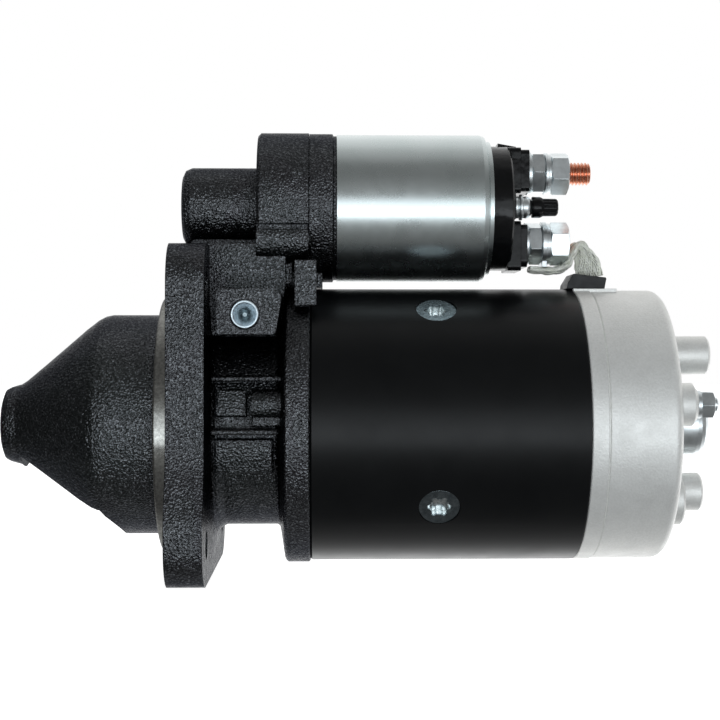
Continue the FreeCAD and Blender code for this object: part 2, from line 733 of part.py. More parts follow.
def pole_screws():
    screws = []
    head_top = YOKE_R - POLE_SCREW_SINK
    for angle in pole_angles():
        solid = pole_screw_cutter(angle, POLE_SCREW_HEAD_R, POLE_SCREW_SHANK_R, 43)
        above = block(POLE_SCREW_X - 12, POLE_SCREW_X + 12, -12, 12, head_top, YOKE_R + 6)
        solid = solid.cut(spun(above, angle - 90))
        socket = six_lobe_socket(4.8, 3.2)
        socket.translate(V(POLE_SCREW_X, 0, head_top))
        screws.append(solid.cut(spun(socket, angle - 90)))
    return group(screws)


# ---- end cover and brush gear --------------------------------------------------------------
def cover_fillet(r_outer, x_end, radius, steps=8):
    """Points of a quarter-round from the side of the cover to its end face."""
    points = []
    for k in range(steps + 1):
        a = math.radians(90.0 * k / steps)
        points.append((x_end - radius + radius * math.sin(a), r_outer - radius + radius * math.cos(a)))
    return points


def end_cover():
    rim = [
        (YOKE_END_X, 0), (YOKE_END_X, YOKE_R - 0.4), (YOKE_END_X + 0.4, YOKE_R),
        (COVER_RIM_X - 0.5, YOKE_R), (COVER_RIM_X - 0.3, COVER_R - 0.5),
        (COVER_RIM_X, COVER_R - 0.5), (COVER_RIM_X + 0.5, COVER_R),
    ]
    shell = turned(rim + cover_fillet(COVER_R, COVER_END_X, COVER_FILLET) + [(COVER_END_X, 0)])
    inner_r = COVER_R - COVER_WALL
    inner_end_x = COVER_END_X - COVER_WALL
    mouth = [(YOKE_END_X - 1, 0), (YOKE_END_X - 1, inner_r)]
    hollow = turned(mouth + cover_fillet(inner_r, inner_end_x, 7.0, 4) + [(inner_end_x, 0)])
    body = shell.cut(hollow)
    extras = [cylinder(14.0, 186, COVER_END_X)]
    for side, x_end in ((1, SUPPORT_TOP_X), (-1, SUPPORT_LOW_X)):
        profile = [
            (190, 0), (190, SUPPORT_R), (x_end - 1.0, SUPPORT_R), (x_end, SUPPORT_R - 1.0), (x_end, 0),
        ]
        extras.append(turned(profile, 0, side * SUPPORT_Z))
    extras.append(turned([(198, 0), (198, 11), (213.9, 11), (214.9, 10), (214.9, 0)], 0, -SUPPORT_Z - 3.2))
    for side in (-1, 1):
        foot_z = SUPPORT_Z - 4.5
        tip_x = COVER_END_X + 8
        corners = [
            V(200, side * 5, foot_z), V(200, side * 13.5, foot_z),
            V(tip_x, side * 7.6, foot_z), V(tip_x, side * 5, foot_z),
        ]
        gusset = Part.Face(Part.makePolygon(corners + corners[:1]))
        extras.append(gusset.extrude(V(0, 0, 6.8)))
    for angle in (POLE_TURN, POLE_TURN + 180):
        y, z = around(BOLT_CIRCLE_R, angle)
        extras.append(turned([(YOKE_END_X + 8, 0), (YOKE_END_X + 8, 8.6), (BOLT_SEAT_X - 1.8, 8.6),
                              (BOLT_SEAT_X, 6.2), (BOLT_SEAT_X, 0)], y, z))
    saddle = block(YOKE_END_X, 185, -11.5, 11.5, 50, 57.4)
    extras.append(saddle)
    body = joined([body] + extras)
    body = body.cut(turned([(150, 0), (150, inner_r), (178, inner_r), (178, 0)]))
    body = body.cut(cylinder(8.0, 180, COVER_END_X + 5))
    body = body.cut(cylinder(SUPPORT_HOLE_R, SUPPORT_TOP_X - 18, SUPPORT_TOP_X + 1, 0, SUPPORT_Z))
    body = body.cut(cylinder(SUPPORT_HOLE_R, SUPPORT_LOW_X - 18, SUPPORT_LOW_X + 1, 0, -SUPPORT_Z))
    for angle in (POLE_TURN, POLE_TURN + 180):
        y, z = around(BOLT_CIRCLE_R, angle)
        body = body.cut(cylinder(BOLT_R + 0.3, YOKE_END_X, 230, y, z))
    body = body.cut(block(YOKE_END_X - 1, 180.2, -7.5, 7.5, 45, 58))
    return body.removeSplitter()


def end_bush():
    return tube(8.0, END_JOURNAL_R + RUNNING_GAP, 185.4, 203.4)


def shaft_cap():
    outer = [(COVER_END_X, 0), (COVER_END_X, 13.7), (219.4, 13.7), (221.2, 13.3), (222.9, 12.3),
             (224.1, 10.8), (224.8, 9.0), (224.9, 8.0), (224.9, 0)]
    inner = [(COVER_END_X - 1, 0), (COVER_END_X - 1, 12.5), (219.2, 12.5), (221.0, 12.0), (222.8, 10.4),
             (223.6, 8.4), (223.7, 7.6), (223.7, 0)]
    return turned(outer).cut(turned(inner))


def bolt_places():
    return [around(BOLT_CIRCLE_R, angle) for angle in (POLE_TURN, POLE_TURN + 180)]


def through_bolts():
    profile = [
        (36, 0), (36, BOLT_R - 0.5), (36.5, BOLT_R), (BOLT_END_X - 0.7, BOLT_R),
        (BOLT_END_X, BOLT_R - 0.7), (BOLT_END_X, 0),
    ]
    return group([turned(profile, y, z) for y, z in bolt_places()])


def through_bolt_nuts():
    start_x = BOLT_SEAT_X + 1.6
    return group([nut(BOLT_NUT_FLATS, BOLT_R, start_x, start_x + 5.2, y, z, 3) for y, z in bolt_places()])


def through_bolt_washers():
    return group([tube(5.6, BOLT_R, BOLT_SEAT_X, BOLT_SEAT_X + 1.6, y, z) for y, z in bolt_places()])


def brush_angles():
    return [POLE_TURN + 45 + 90 * k for k in range(4)]


def brush_plate():
    plate = tube(51.2, 24.0, 171.6, 173.4)
    for angle in (POLE_TURN, POLE_TURN + 180):
        plate = plate.cut(cylinder(BOLT_R + 0.6, 170, 175, *around(BOLT_CIRCLE_R, angle)))
    return plate.cut(block(170, 175, -9, 9, 42, 60))


def brush_boxes():
    boxes = []
    inside = BRUSH_HALF + HOLDER_GAP
    outside = inside + HOLDER_WALL
    start_x = BRUSH_X - HOLDER_GAP
    for angle in brush_angles():
        outer = block(start_x - HOLDER_WALL, 171.6, -outside, outside, 23, 37)
        inner = block(start_x, BRUSH_END_X + HOLDER_GAP, -inside, inside, 22, 38)
        boxes.append(spun(outer.cut(inner), angle - 90))
    return group(boxes)


def brush(angle):
    body = block(BRUSH_X, BRUSH_END_X, -BRUSH_HALF, BRUSH_HALF, COMMUTATOR_R - 1, BRUSH_TOP_R)
    return spun(body.cut(cylinder(COMMUTATOR_R + 0.3, 150, 180)), angle - 90)


def brush_springs():
    springs = []
    for angle in brush_angles():
        coil = Part.makeCylinder(4.5, 11.5, V(163, 0, BRUSH_TOP_R + 0.3), V(0, 0, 1))
        springs.append(spun(coil, angle - 90))
    return group(springs)


# ---- solenoid ------------------------------------------------------------------------------
def solenoid_screw_places():
    return [(-SOLENOID_SCREW_Y, SOLENOID_SCREW_Z), (SOLENOID_SCREW_Y, SOLENOID_SCREW_Z)]


def solenoid_flange():
    profile = [(55.5, 0), (55.5, 31.5), (65.2, 31.5), (65.7, 30.6), (66.9, 30.6), (66.9, 0)]
    body = turned(profile, 0, SOLENOID_Z)
    body = body.cut(cylinder(PLUNGER_R + 0.4, 50, 70, 0, SOLENOID_Z))
    for y, z in solenoid_screw_places():
        body = body.cut(cylinder(2.5, 50, 63, y, z))
    return body


def solenoid_screws():
    screws = []
    for y, z in solenoid_screw_places():
        shank = cylinder(2.5, 40, 62.5, y, z)
        head = cylinder(4.9, 36.5, 41.0, y, z)
        solid = shank.fuse(head).cut(hexagon(5, 36, 39, y, z))
        screws.append(solid.removeSplitter())
    return group(screws)


def solenoid_case():
    outer = [
        (CAN_X, 0), (CAN_X, SOLENOID_R), (CAN_END_X - 2.5, SOLENOID_R),
        (CAN_END_X - 0.7, SOLENOID_R - 0.7), (CAN_END_X, SOLENOID_R - 2.4), (CAN_END_X, 28.4),
        (131.6, 28.4), (131.6, 26.7), (130.2, 26.7), (130.2, 0),
    ]
    inner = [(CAN_X - 1, 0), (CAN_X - 1, 28.4), (128.0, 28.4), (128.0, 26.7), (140, 26.7), (140, 0)]
    return turned(outer, 0, SOLENOID_Z).cut(turned(inner, 0, SOLENOID_Z))


def solenoid_bobbin():
    return turned([(67.4, PLUNGER_R + 0.4), (67.4, 28.0), (69.4, 28.0), (69.4, 16.6), (110.4, 16.6),
                   (110.4, 28.0), (112.4, 28.0), (112.4, PLUNGER_R + 0.4)], 0, SOLENOID_Z)


def solenoid_coil():
    return tube(27.4, 16.7, 69.5, 110.3, 0, SOLENOID_Z)


def solenoid_core():
    return turned([(108.6, 3.2), (108.6, PLUNGER_R - 0.1), (112.5, PLUNGER_R - 0.1), (112.5, 28.2),
                   (118.5, 28.2), (118.5, 12), (124, 12), (124, 3.2)], 0, SOLENOID_Z)


def plunger():
    return turned([(50, 0), (50, 8), (51.5, 9.5), (54, PLUNGER_R), (96, PLUNGER_R), (96, 8.4), (77, 8.4),
                   (77, 0)], 0, SOLENOID_Z)


def plunger_link():
    pin_x = PIVOT_X - PLUNGER_STROKE / 2
    plate = plate_xz([(pin_x - 7, SOLENOID_Z - 6.2, 3), (pin_x - 7, SOLENOID_Z + 6.6, 3),
                      (50, SOLENOID_Z + 5, 0), (50, SOLENOID_Z - 5, 0)], -2.6, 2.6)
    eye = plate_xz([(pin_x - 3.4, SOLENOID_Z - 3.5, 1.5), (pin_x - 3.4, SOLENOID_Z + 4.0, 1.5),
                    (pin_x + 3.4, SOLENOID_Z + 4.0, 1.5), (pin_x + 3.4, SOLENOID_Z - 3.5, 1.5)], -5, 5)
    return plate.cut(eye)


def plunger_spring():
    return tube(7.6, 5.6, 77.4, 108.2, 0, SOLENOID_Z)


def contact_bridge():
    rod = turned([(88, 0), (88, 2.4), (88.6, 2.9), (139.6, 2.9), (139.6, 0)], 0, SOLENOID_Z)
    disc = turned([(131.4, 0), (131.4, 20.6), (133.6, 20.6), (133.6, 0)], 0, SOLENOID_Z)
    return joined([rod, disc])


def contact_spring():
    return tube(5.0, 3.4, 134.0, 143.0, 0, SOLENOID_Z)


def solenoid_cap():
    profile = [(130.3, 0), (130.3, CAP_R), (139.4, CAP_R), (140.2, CAP_R - 0.8), (140.2, 0)]
    body = turned(profile, 0, SOLENOID_Z)
    high = SOLENOID_Z + STUD_OFFSET
    low = SOLENOID_Z - STUD_OFFSET
    blocks = [
        plate_yz([(-12, high - 9.4, 2), (-12, high + 10.0, 2), (12, high + 10.0, 2), (12, high - 9.4, 2)],
                 139, 144.6),
        plate_yz([(-11, high - 8.6, 2), (-11, high + 9.2, 2), (11, high + 9.2, 2), (11, high - 8.6, 2)],
                 144, 148.3),
        plate_yz([(-12, low - 12.0, 2), (-12, low + 9.0, 2), (12, low + 9.0, 2), (12, low - 12.0, 2)],
                 139, 144.6),
        plate_yz([(-11, low - 10.4, 3), (-11, low + 7.6, 2), (11, low + 7.6, 2), (11, low - 10.4, 3)],
                 144, 147.4),
        block(139, 141.4, -20, 7, SOLENOID_Z - 6, SOLENOID_Z + 5.4),
        plate_xz([(135.6, 117.4, 0), (135.6, 119.5, 0), (143.4, 118.1, 0), (143.4, 116.2, 0)], -4, 4),
    ]
    solid = joined([body] + blocks)
    solid = solid.cut(cylinder(22.6, 129, 137.0, 0, SOLENOID_Z))
    solid = solid.cut(cylinder(6.0, 136, 144.0, 0, SOLENOID_Z))
    for middle in (high, low):
        solid = solid.cut(cylinder(STUD_GRIP_R, 130, 150, 0, middle))
        solid = solid.cut(hexagon(11.5, 136, 139.6, 0, middle))
    solid = solid.cut(cylinder(1.9, 130, 150, TRIGGER_Y, TRIGGER_Z))
    return solid.removeSplitter()


def terminal_studs():
    """Contact studs; only the upper one has a free end for the battery cable."""
    studs = []
    for side, x_end in ((1, STUD_END_X), (-1, 166.6)):
        middle = SOLENOID_Z + side * STUD_OFFSET
        tip_r = STUD_GRIP_R - 1.0
        profile = [
            (139, 0), (139, STUD_GRIP_R), (x_end - 1.0, STUD_GRIP_R), (x_end, tip_r), (x_end, 0),
        ]
        shank = turned(profile, 0, middle)
        head = hexagon(11.3, 137.2, 139.6, 0, middle)
        studs.append(shank.fuse(head))
    free_end = [
        (STUD_FREE_X, 0), (STUD_FREE_X, STUD_R), (STUD_END_X - 1.0, STUD_R),
        (STUD_END_X, STUD_R - 1.0), (STUD_END_X, 0),
    ]
    studs[0] = studs[0].fuse(turned(free_end, 0, SOLENOID_Z + STUD_OFFSET))
    return group([stud.removeSplitter() for stud in studs])


def stud_nuts():
    high = SOLENOID_Z + STUD_OFFSET
    low = SOLENOID_Z - STUD_OFFSET
    return group([
        nut(STUD_NUT_FLATS, STUD_GRIP_R, 149.9, 155.8, 0, high, 1),
        nut(STUD_NUT_FLATS, STUD_GRIP_R, 158.2, 166.0, 0, high, 20),
        nut(STUD_NUT_FLATS, STUD_GRIP_R, 148.6, 154.4, 0, low, 17),
        nut(STUD_NUT_FLATS, STUD_GRIP_R, 157.8, 166.0, 0, low, 36)])


def stud_washers():
    high = SOLENOID_Z + STUD_OFFSET
    low = SOLENOID_Z - STUD_OFFSET
    return group([
        tube(9.2, STUD_R, 148.4, 149.9, 0, high), tube(8.9, STUD_R, 155.8, 157.0, 0, high),
        tube(8.4, STUD_R, 157.0, 158.2, 0, high), tube(9.0, STUD_R, 147.4, 148.6, 0, low),
        tube(8.8, STUD_R, 156.4, 157.8, 0, low)])


def control_terminal():
    y = TRIGGER_Y
    z = TRIGGER_Z
    stud = cylinder(1.9, 137.2, 156, y, z)
    base = turned([(141.4, 0), (141.4, 4.6), (143.4, 4.6), (143.4, 5.4), (144.6, 5.4), (144.6, 4.6),
                   (146.8, 4.6), (148.0, 4.0), (148.6, 2.8), (148.6, 0)], y, z)
    sleeve = turned([(148.6, 0), (148.6, 4.4), (152.6, 4.4), (153.2, 3.6), (158.8, 3.6), (159.6, 2.8),
                     (159.6, 0)], y, z)
    return joined([stud, base, sleeve])


# ---- field lead ----------------------------------------------------------------------------
def lead_lug():
    low = SOLENOID_Z - STUD_OFFSET
    ring = tube(9.4, STUD_R, 154.4, 156.4, 0, low)
    tail = block(154.4, 156.4, -5.5, 5.5, low - 10.1, low - 7)
    return joined([ring, tail]).cut(cylinder(STUD_R, 150, 160, 0, low))


def braided_lead():
    body = ribbon(LEAD_ROUTE, 2.6, LEAD_THICKNESS, -LEAD_WIDTH / 2, LEAD_WIDTH / 2)
    return body.cut(lead_lug())


def lead_grommet():
    yoke_top = YOKE_R + 0.02
    body = plate_xz([(164.3, yoke_top, 0), (164.6, 59.6, 0.4), (167.2, 63.8, 0.4), (181.2, 62.2, 0.6),
                     (180.3, yoke_top, 0)], -9.5, 9.5)
    plug = block(YOKE_END_X, 180.2, -7.5, 7.5, 51.5, yoke_top + 0.5)
    solid = joined([body, plug])
    return solid.cut(braided_lead())


def main():
    os.makedirs("parts", exist_ok=True)
    makers = [
        drive_end_housing, nose_bush, lever_pivot_bolt, lever_pivot_nut, shift_lever, fork_shoes,
        centre_bearing_plate, centre_bush, pinion, pinion_bush, clutch_shell, clutch_rollers,
        clutch_springs, clutch_cover, meshing_spring, guide_collar, armature_shaft, stop_ring,
        snap_ring, armature_core, armature_windings, commutator, thrust_washers, shaft_clip, yoke,
        pole_shoes, field_coils, pole_screws, end_cover, end_bush, shaft_cap, through_bolts,
        through_bolt_nuts, through_bolt_washers, brush_plate, brush_boxes, brush_springs,
        solenoid_flange, solenoid_screws, solenoid_case, solenoid_bobbin, solenoid_coil,
        solenoid_core, plunger, plunger_link, plunger_spring, contact_bridge, contact_spring,
        solenoid_cap, terminal_studs, stud_nuts, stud_washers, control_terminal, lead_lug,
        braided_lead, lead_grommet,
    ]
    for make in makers:
        save(make.__name__, make())
    for number, angle in enumerate(brush_angles(), 1):
        save("brush_" + str(number), brush(angle))


main()
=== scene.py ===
import math
import random

import bpy
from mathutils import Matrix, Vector


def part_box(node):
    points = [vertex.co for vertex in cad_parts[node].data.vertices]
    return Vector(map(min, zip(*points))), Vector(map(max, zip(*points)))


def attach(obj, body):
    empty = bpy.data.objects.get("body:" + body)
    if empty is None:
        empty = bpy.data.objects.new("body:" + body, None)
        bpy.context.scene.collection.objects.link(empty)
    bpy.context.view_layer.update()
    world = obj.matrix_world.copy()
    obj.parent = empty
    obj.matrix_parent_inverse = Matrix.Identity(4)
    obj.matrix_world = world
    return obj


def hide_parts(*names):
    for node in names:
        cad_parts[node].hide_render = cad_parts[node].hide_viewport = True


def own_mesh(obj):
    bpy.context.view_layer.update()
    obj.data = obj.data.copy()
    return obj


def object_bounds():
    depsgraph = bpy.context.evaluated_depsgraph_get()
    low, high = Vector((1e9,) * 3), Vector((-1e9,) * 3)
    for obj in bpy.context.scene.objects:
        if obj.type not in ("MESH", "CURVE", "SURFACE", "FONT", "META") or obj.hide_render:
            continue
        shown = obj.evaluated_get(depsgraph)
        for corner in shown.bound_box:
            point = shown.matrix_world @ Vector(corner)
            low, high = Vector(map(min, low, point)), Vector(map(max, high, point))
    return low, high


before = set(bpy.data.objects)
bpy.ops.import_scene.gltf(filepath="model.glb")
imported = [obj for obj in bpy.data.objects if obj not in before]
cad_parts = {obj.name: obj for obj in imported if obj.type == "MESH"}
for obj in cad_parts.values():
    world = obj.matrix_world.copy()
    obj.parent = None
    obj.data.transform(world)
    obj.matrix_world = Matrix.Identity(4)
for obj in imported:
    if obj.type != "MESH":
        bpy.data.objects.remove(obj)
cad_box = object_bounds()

# A starter motor with its solenoid, in the studio. Metres, in the frame of the CAD model:
# +X along the motor axis towards the commutator end, +Z towards the solenoid.

MM = 0.001
RANGE_SOCKETS = ("From Min", "From Max", "To Min", "To Max")
random.seed(7)


# ---- meshes ---------------------------------------------------------------------------------
def new_object(name, verts, faces, material):
    """A smooth-shaded mesh object."""
    mesh = bpy.data.meshes.new(name)
    mesh.from_pydata([tuple(v) for v in verts], [], faces)
    mesh.update()
    mesh.materials.append(material)
    for polygon in mesh.polygons:
        polygon.use_smooth = True
    obj = bpy.data.objects.new(name, mesh)
    bpy.context.scene.collection.objects.link(obj)
    return obj


def ring_faces(rows, count):
    """Quads between rows of count points that close on themselves."""
    faces = []
    for row in range(rows - 1):
        for i in range(count):
            a = row * count + i
            b = row * count + (i + 1) % count
            faces.append((a, b, b + count, a + count))
    return faces


def end_faces(total, count):
    """The two caps of a tube of total points with count points round it."""
    return [tuple(reversed(range(count))), tuple(range(total - count, total))]


def swept(path, radius, sides):
    """Points and faces of a closed tube along a list of points."""
    verts = []
    across = None
    for k, point in enumerate(path):
        ahead = path[min(k + 1, len(path) - 1)] - path[max(k - 1, 0)]
        ahead.normalize()
        if across is None:
            across = ahead.orthogonal().normalized()
        across = (across - ahead * across.dot(ahead)).normalized()
        up = ahead.cross(across)
        for i in range(sides):
            a = 2 * math.pi * i / sides
            verts.append(point + across * (radius * math.cos(a)) + up * (radius * math.sin(a)))
    return verts, ring_faces(len(path), sides) + end_faces(len(verts), sides)


def merged(name, parts, material):
    """One object from several (points, faces) pairs."""
    verts = []
    faces = []
    for part_verts, part_faces in parts:
        start = len(verts)
        verts.extend(part_verts)
        faces.extend(tuple(start + i for i in face) for face in part_faces)
    return new_object(name, verts, faces, material)


def lathe(profile, y, z, count=64, ripple=None):
    """Points and faces of a solid turned about an axis along X, from (x, radius) pairs.
    ripple(angle, x) scales the radius."""
    verts = []
    for x, r in profile:
        for i in range(count):
            a = 2 * math.pi * i / count
            size = r * (ripple(a, x) if ripple else 1.0)
            verts.append(Vector((x, y + size * math.cos(a), z + size * math.sin(a))))
    faces = ring_faces(len(profile), count) + end_faces(len(verts), count)
    return verts, [tuple(reversed(face)) for face in faces]


def thread(x0, x1, radius, pitch, depth, y, z):
    """Points and faces of a rod along X with a helical thread and a bevelled free end. The groove
    is a V between narrow flat crests, deepest half a pitch away from them."""
    bevel = 0.8 * MM
    count = 56
    rows_per_turn = 12
    rows = int(round((x1 - x0) / pitch * rows_per_turn))
    verts = []
    for k in range(rows + 1):
        x = x0 + (x1 - x0) * k / rows
        for i in range(count):
            a = 2 * math.pi * i / count
            phase = ((x - x0) / pitch - i / count) % 1.0
            groove = min(1.0, max(0.0, 2.4 * abs(phase - 0.5) - 0.1))
            r = radius - depth * groove
            r = min(r, radius - depth * 1.15 + (x1 - x) * depth * 1.3 / bevel)
            verts.append(Vector((x, y + r * math.cos(a), z + r * math.sin(a))))
    faces = ring_faces(rows + 1, count) + end_faces(len(verts), count)
    return verts, [tuple(reversed(face)) for face in faces]


def helix(x0, x1, radius, turns, y, z):
    """Points of a compression spring along X, whose end turns lie nearly flat."""
    steps = 24
    end_turns = 0.8
    end_climb = 0.3
    total = int(turns * steps)
    climb = []
    height = 0.0
    for k in range(total + 1):
        turn = k / steps
        climb.append(height)
        height += end_climb if min(turn, turns - turn) < end_turns else 1.0
    points = []
    for k, level in enumerate(climb):
        a = 2 * math.pi * k / steps
        x = x0 + (x1 - x0) * level / climb[-1]
        points.append(Vector((x, y + radius * math.cos(a), z + radius * math.sin(a))))
    return points


# ---- materials ------------------------------------------------------------------------------
class Surface:
    """A Principled material, and short ways to add the nodes that feed it."""

    def __init__(self, name, colour, metallic, roughness, **sockets):
        self.material = bpy.data.materials.new(name)
        self.material.use_nodes = True
        self.tree = self.material.node_tree
        self.shader = self.tree.nodes["Principled BSDF"]
        self.shader.inputs["Base Color"].default_value = (*colour, 1.0)
        self.shader.inputs["Metallic"].default_value = metallic
        self.shader.inputs["Roughness"].default_value = roughness
        for socket, value in sockets.items():
            self.shader.inputs[socket.replace("_", " ")].default_value = value
        self.place = self.tree.nodes.new("ShaderNodeTexCoord").outputs["Object"]

    def link(self, source, target):
        self.tree.links.new(source, target)

    def feed(self, socket, source):
        self.link(source, self.shader.inputs[socket])

    def stretched(self, x, y, z):
        """Places scaled along each axis, for noise drawn out into lines."""
        node = self.tree.nodes.new("ShaderNodeMapping")
        node.inputs["Scale"].default_value = (x, y, z)
        self.link(self.place, node.inputs["Vector"])
        return node.outputs["Vector"]

    def noise(self, size, detail=3.0, roughness=0.55, where=None):
        """Noise whose features are about size metres across."""
        node = self.tree.nodes.new("ShaderNodeTexNoise")
        node.inputs["Scale"].default_value = 1.0 / size
        node.inputs["Detail"].default_value = detail
        node.inputs["Roughness"].default_value = roughness
        self.link(where or self.place, node.inputs["Vector"])
        return node.outputs["Fac"]

    def cells(self, size):
        """Distance from the middle of rounded cells about size metres across."""
        node = self.tree.nodes.new("ShaderNodeTexVoronoi")
        node.feature = "SMOOTH_F1"
        node.inputs["Scale"].default_value = 1.0 / size
        node.inputs["Smoothness"].default_value = 0.6
        self.link(self.place, node.inputs["Vector"])
        return node.outputs["Distance"]

    def ramp(self, source, *stops):
        """Colour from a value, by (position, colour) stops."""
        node = self.tree.nodes.new("ShaderNodeValToRGB")
        ramp = node.color_ramp
        while len(ramp.elements) < len(stops):
            ramp.elements.new(0.5)
        for element, (position, colour) in zip(ramp.elements, stops):
            element.position = position
            element.color = (*colour, 1.0)
        self.link(source, node.inputs["Fac"])
        return node.outputs["Color"]

    def remap(self, source, low, high, to_low, to_high):
        """Source taken from the range low..high to to_low..to_high, and clamped there."""
        node = self.tree.nodes.new("ShaderNodeMapRange")
        for socket, value in zip(RANGE_SOCKETS, (low, high, to_low, to_high)):
            node.inputs[socket].default_value = value
        self.link(source, node.inputs["Value"])
        return node.outputs["Result"]

    def maths(self, operation, a, b=None):
        """A maths operation on sockets or numbers."""
        node = self.tree.nodes.new("ShaderNodeMath")
        node.operation = operation
        for socket, value in zip(node.inputs, (a, b)):
            if value is None:
                continue
            if isinstance(value, (int, float)):
                socket.default_value = value
            else:
                self.link(value, socket)
        return node.outputs["Value"]

    def blend(self, factor, a, b):
        """Colour a where factor is 0, and b where it is 1."""
        node = self.tree.nodes.new("ShaderNodeMix")
        node.data_type = "RGBA"
        self.link(factor, node.inputs["Factor"])
        for socket, value in (("A", a), ("B", b)):
            target = [s for s in node.inputs if s.name == socket and s.type == "RGBA"][0]
            if isinstance(value, tuple):
                target.default_value = (*value, 1.0)
            else:
                self.link(value, target)
        return [s for s in node.outputs if s.type == "RGBA"][0]

    def axes(self):
        """The X, Y and Z of each point."""
        node = self.tree.nodes.new("ShaderNodeSeparateXYZ")
        self.link(self.place, node.inputs["Vector"])
        return node.outputs["X"], node.outputs["Y"], node.outputs["Z"]

    def radius(self):
        """Distance from the motor axis."""
        _, y, z = self.axes()
        square = self.maths("ADD", self.maths("MULTIPLY", y, y), self.maths("MULTIPLY", z, z))
        return self.maths("SQRT", square)

    def soft_edges(self, radius):
        """Normals that run round each edge, as on a casting or a plated part."""
        node = self.tree.nodes.new("ShaderNodeBevel")
        node.samples = 6
        node.inputs["Radius"].default_value = radius
        return node.outputs["Normal"]

    def bump(self, *layers, normal=None):
        """Bump from (height, strength, depth in metres) layers, one over the other."""
        for height, strength, depth in layers:
            node = self.tree.nodes.new("ShaderNodeBump")
            node.inputs["Strength"].default_value = strength
            node.inputs["Distance"].default_value = depth
            self.link(height, node.inputs["Height"])
            if normal:
                self.link(normal, node.inputs["Normal"])
            normal = node.outputs["Normal"]
        self.feed("Normal", normal)


def grainy_black():
    """Black sand-cast iron: grainy, with grain tops painted lighter as painted glints, and a turned bare
    steel pilot ring.
    """
    s = Surface("black_casting", (0.07, 0.073, 0.077), 1.0, 0.22, Specular_Tint=(0.34, 0.34, 0.35, 1))
    ring_start = -5.75 * MM
    ring_end = -0.2 * MM
    ring_inner_r = 51.0 * MM
    skin = s.ramp(s.noise(9 * MM, 4.0), (0.3, (0.055, 0.057, 0.060)), (0.75, (0.078, 0.081, 0.086)))
    grain = s.noise(0.85 * MM, 1.0, 0.5)
    swell = s.noise(5 * MM, 2.0)
    pits = s.cells(0.95 * MM)
    # Painted glints: the tops of the grain are painted lighter, so they show as bright specks.
    painted_glint_tops = s.remap(grain, 0.5, 0.7, 0, 1)
    skin = s.blend(painted_glint_tops, skin, (0.150, 0.157, 0.166))
    roughness = s.remap(s.noise(4 * MM, 3.0), 0.3, 0.7, 0.17, 0.27)
    x, _, _ = s.axes()
    ring = s.maths("MULTIPLY", s.remap(x, ring_start, ring_start + 0.05 * MM, 0, 1),
                   s.remap(x, ring_end - 0.1 * MM, ring_end, 1, 0))
    bare = s.maths("MULTIPLY", ring, s.remap(s.radius(), ring_inner_r, ring_inner_r + 0.4 * MM, 0, 1))
    steel_tone = s.ramp(s.noise(1.2 * MM, 4.0), (0.3, (0.20, 0.20, 0.19)), (0.7, (0.36, 0.36, 0.34)))
    covered = s.maths("SUBTRACT", 1.0, bare)
    grain, swell, pits = (s.maths("MULTIPLY", layer, covered) for layer in (grain, swell, pits))
    s.feed("Base Color", s.blend(bare, skin, steel_tone))
    s.feed("Roughness", roughness)
    s.bump((swell, 0.35, 0.5 * MM), (grain, 1.0, 0.58 * MM), (pits, 0.8, 0.22 * MM),
           normal=s.soft_edges(0.8 * MM))
    return s.material


def enamel_black():
    """Smooth satin black enamel on the rolled yoke."""
    s = Surface("enamel_black", (0.0045, 0.005, 0.0055), 0.0, 0.33, Specular_IOR_Level=0.2)
    s.feed("Base Color", s.ramp(s.noise(25 * MM, 4.0),
                                (0.3, (0.0035, 0.004, 0.0045)), (0.7, (0.006, 0.0065, 0.007))))
    s.feed("Roughness", s.remap(s.noise(14 * MM, 5.0), 0.3, 0.7, 0.29, 0.36))
    s.bump((s.noise(1.6 * MM, 2.0), 0.05, 0.05 * MM), (s.noise(30 * MM, 2.0), 0.08, 0.4 * MM))
    return s.material


def steel(name, colour, rough, spread=0.05, scratch=0.02):
    """Plated or machined steel, with a faint mottle and turning marks round the X axis."""
    s = Surface(name, colour, 1.0, rough)
    darker = tuple(c * 0.86 for c in colour)
    lighter = tuple(min(1.0, c * 1.1) for c in colour)
    s.feed("Base Color", s.ramp(s.noise(3.5 * MM, 5.0), (0.3, darker), (0.7, lighter)))
    s.feed("Roughness", s.remap(s.noise(2.2 * MM, 4.0), 0.3, 0.7, rough - spread, rough + spread))
    lines = s.noise(0.4 * MM, 2.0, where=s.stretched(1.0, 0.02, 0.02))
    s.bump((s.noise(1.5 * MM, 3.0), scratch, 0.05 * MM), (lines, scratch, 0.04 * MM),
           normal=s.soft_edges(0.35 * MM))
    return s.material


def can_steel():
    """Satin plated can, drawn and brushed round its axis."""
    s = Surface("can_steel", (0.63, 0.685, 0.68), 1.0, 0.27)
    s.feed("Base Color", s.ramp(s.noise(18 * MM, 5.0),
                                (0.3, (0.595, 0.655, 0.65)), (0.7, (0.665, 0.715, 0.715))))
    s.feed("Roughness", s.remap(s.noise(9 * MM, 5.0), 0.3, 0.7, 0.25, 0.31))
    brushed = s.noise(0.5 * MM, 3.0, where=s.stretched(1.0, 0.03, 0.03))
    s.bump((brushed, 0.05, 0.03 * MM), (s.noise(22 * MM, 2.0), 0.04, 0.3 * MM))
    return s.material


